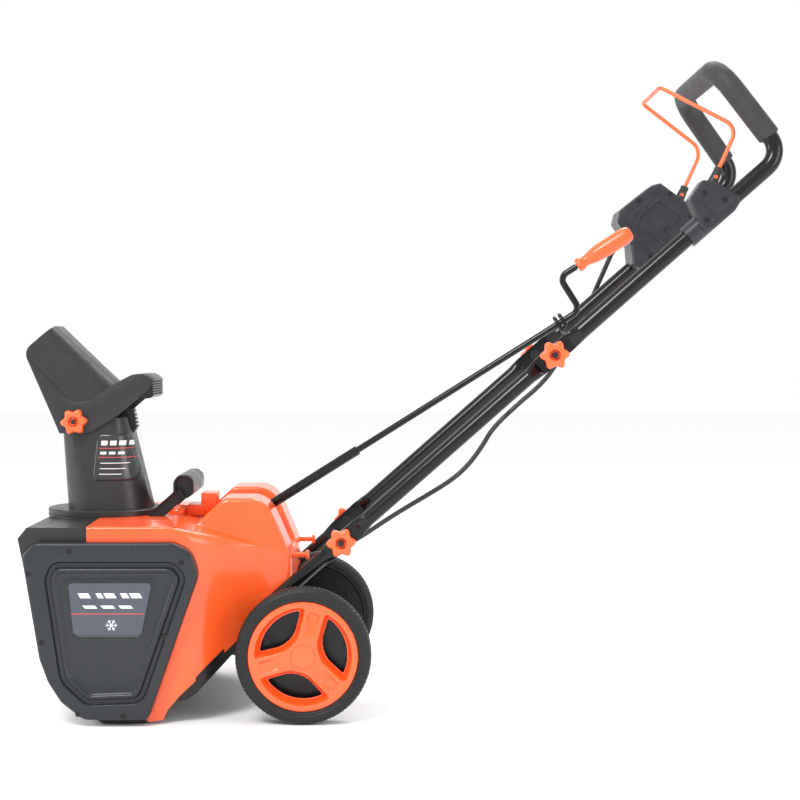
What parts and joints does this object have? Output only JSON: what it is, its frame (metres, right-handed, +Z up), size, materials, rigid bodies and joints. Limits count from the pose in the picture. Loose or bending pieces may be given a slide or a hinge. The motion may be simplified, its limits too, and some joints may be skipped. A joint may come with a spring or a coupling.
{
  "type": "electric snow blower",
  "caption": "Electric single-stage snow blower on wheels, with a cranked discharge chute, a tilting hood, a two-joint folding handle and a squeeze bail.",
  "frame": {"origin": "middle of the overall length and width, on the ground", "axes": "+X forwards, the way the auger faces; +Y to the operator's left; +Z up"},
  "size_m": [1.1478, 0.464, 0.983],
  "materials": {
    "housing_plastic": "fine-grained dark grey",
    "cover_plastic": "satin slate grey",
    "orange_plastic": "glossy moulded orange",
    "black_plastic": "satin black",
    "box_plastic": "satin near-black",
    "knob_plastic": "semi-gloss orange",
    "black_tube": "gloss black powder coat",
    "orange_wire": "orange dipped wire",
    "tyre_rubber": "matt black",
    "auger_rubber": "matt black",
    "soft_rubber": "matt black",
    "foam": "closed-cell foam",
    "cable_jacket": "smooth black",
    "auger_paint": "grey paint",
    "zinc_steel": "zinc plated",
    "motor_steel": "drawn steel"
  },
  "bodies": {
    "chassis": {"auger_housing": "housing_plastic", "motor_cover": "orange_plastic", "bottom_cover": "black_plastic", "side_cover_left": "cover_plastic", "side_cover_right": "cover_plastic", "cover_screws": "zinc_steel", "scraper_blade": "black_plastic", "carry_handle": "black_plastic", "axle": "zinc_steel", "lower_tubes": "black_tube", "lower_bolts": "zinc_steel", "cord_pegs": "orange_plastic", "chute_collar": "housing_plastic", "pinion_bracket": "black_plastic", "auger_bearings": "zinc_steel", "motor_case": "motor_steel", "motor_bracket": "zinc_steel", "drive_belt": "soft_rubber"},
    "auger": {"auger_shaft": "zinc_steel", "auger_frame": "auger_paint", "auger_rubber": "auger_rubber", "auger_pulley": "black_plastic"},
    "motor_rotor": {"motor_armature": "zinc_steel", "motor_pulley": "zinc_steel", "cooling_fan": "black_plastic"},
    "wheel_left": {"tyre_left": "tyre_rubber", "rim_left": "orange_plastic", "wheel_disc_left": "black_plastic", "hub_cap_left": "knob_plastic"},
    "wheel_right": {"tyre_right": "tyre_rubber", "rim_right": "orange_plastic", "wheel_disc_right": "black_plastic", "hub_cap_right": "knob_plastic"},
    "chute": {"chute_tube": "housing_plastic", "deflector_bolts": "zinc_steel"},
    "hood": {"deflector": "housing_plastic"},
    "hood_knob_left": {"deflector_knob_left": "knob_plastic"},
    "hood_knob_right": {"deflector_knob_right": "knob_plastic"},
    "pinion": {"pinion_shaft": "black_plastic"},
    "crank": {"crank_rod": "black_tube"},
    "crank_handgrip": {"crank_grip": "knob_plastic"},
    "lower_clamp_left": {"lower_knob_left": "knob_plastic"},
    "lower_clamp_right": {"lower_knob_right": "knob_plastic"},
    "middle_handle": {"middle_tubes": "black_tube", "upper_bolts": "zinc_steel", "cable_lower": "cable_jacket"},
    "upper_clamp_left": {"upper_knob_left": "knob_plastic"},
    "upper_clamp_right": {"upper_knob_right": "knob_plastic"},
    "top_handle": {"top_tube": "black_tube", "handle_foam": "foam", "switch_box": "box_plastic", "switch_box_cover": "box_plastic", "bail_hub": "box_plastic", "control_screws": "zinc_steel", "crank_guide": "black_tube", "plug_inlet": "black_plastic", "cable_upper": "cable_jacket"},
    "bail_bar": {"bail": "orange_wire", "bail_boots": "soft_rubber"},
    "lock_button": {"safety_button": "knob_plastic"}
  },
  "joints": [
    {"name": "wheel_left_spin", "type": "hinge", "parent": "chassis", "child": "wheel_left", "pos_m": [0.13486, 0.197, 0.1], "axis": [0, 1, 0], "continuous": true},
    {"name": "wheel_right_spin", "type": "hinge", "parent": "chassis", "child": "wheel_right", "pos_m": [0.13486, -0.197, 0.1], "axis": [0, 1, 0], "continuous": true},
    {"name": "auger_spin", "type": "hinge", "parent": "chassis", "child": "auger", "pos_m": [0.43586, 0, 0.125], "axis": [0, 1, 0], "continuous": true},
    {"name": "motor_spin", "type": "hinge", "parent": "chassis", "child": "motor_rotor", "pos_m": [0.31286, 0.1, 0.22], "axis": [0, 1, 0], "continuous": true},
    {"name": "chute_turn", "type": "hinge", "parent": "chassis", "child": "chute", "pos_m": [0.45686, 0, 0.3], "axis": [0, 0, 1], "range_deg": [-95, 95]},
    {"name": "pinion_spin", "type": "hinge", "parent": "chassis", "child": "pinion", "pos_m": [0.23886, 0, 0.276], "axis": [1, 0, 0], "range_deg": [-570, 570]},
    {"name": "crank_turn", "type": "hinge", "parent": "chassis", "child": "crank", "pos_m": [0.23886, 0, 0.276], "axis": [0.8403, -0.0977, -0.5332], "range_deg": [-570, 570]},
    {"name": "crank_grip_spin", "type": "hinge", "parent": "crank", "child": "crank_handgrip", "pos_m": [-0.3092, 0.0637, 0.69465], "axis": [-0.8403, 0.0977, 0.5332], "continuous": true},
    {"name": "hood_tilt", "type": "hinge", "parent": "chute", "child": "hood", "pos_m": [0.49436, 0, 0.437], "axis": [0, -1, 0], "range_deg": [-25, 4]},
    {"name": "hood_knob_left_turn", "type": "hinge", "parent": "chute", "child": "hood_knob_left", "pos_m": [0.49436, 0.07, 0.437], "axis": [0, 1, 0], "continuous": true},
    {"name": "hood_knob_right_turn", "type": "hinge", "parent": "chute", "child": "hood_knob_right", "pos_m": [0.49436, -0.07, 0.437], "axis": [0, 1, 0], "continuous": true},
    {"name": "lower_fold", "type": "hinge", "parent": "chassis", "child": "middle_handle", "pos_m": [0.07986, 0, 0.262], "axis": [0, 1, 0], "range_deg": [0, 80], "deforming": ["cable_lower"]},
    {"name": "lower_knob_left_turn", "type": "hinge", "parent": "chassis", "child": "lower_clamp_left", "pos_m": [0.07986, 0.175, 0.262], "axis": [0, 1, 0], "continuous": true},
    {"name": "lower_knob_right_turn", "type": "hinge", "parent": "chassis", "child": "lower_clamp_right", "pos_m": [0.07986, -0.175, 0.262], "axis": [0, 1, 0], "continuous": true},
    {"name": "upper_fold", "type": "hinge", "parent": "middle_handle", "child": "top_handle", "pos_m": [-0.23556, 0, 0.54008], "axis": [0, -1, 0], "range_deg": [-90, 0], "deforming": ["cable_upper"]},
    {"name": "upper_knob_left_turn", "type": "hinge", "parent": "middle_handle", "child": "upper_clamp_left", "pos_m": [-0.23556, 0.175, 0.54008], "axis": [0, 1, 0], "continuous": true},
    {"name": "upper_knob_right_turn", "type": "hinge", "parent": "middle_handle", "child": "upper_clamp_right", "pos_m": [-0.23556, -0.175, 0.54008], "axis": [0, 1, 0], "continuous": true},
    {"name": "bail_squeeze", "type": "hinge", "parent": "top_handle", "child": "bail_bar", "pos_m": [-0.46514, 0, 0.778], "axis": [0, -1, 0], "range_deg": [0, 15], "stiffness_Nm_per_rad": 3, "springref_deg": -20.05},
    {"name": "lock_button_press", "type": "slide", "parent": "top_handle", "child": "lock_button", "axis": [0, 1, 0], "range_m": [0, 0.003], "stiffness_N_per_m": 400, "springref_m": -0.002}
  ],
  "couplings": [
    {"joint": "motor_spin", "follows": "auger_spin", "ratio": 4},
    {"joint": "pinion_spin", "follows": "chute_turn", "ratio": 6},
    {"joint": "crank_turn", "follows": "chute_turn", "ratio": 6}
  ]
}
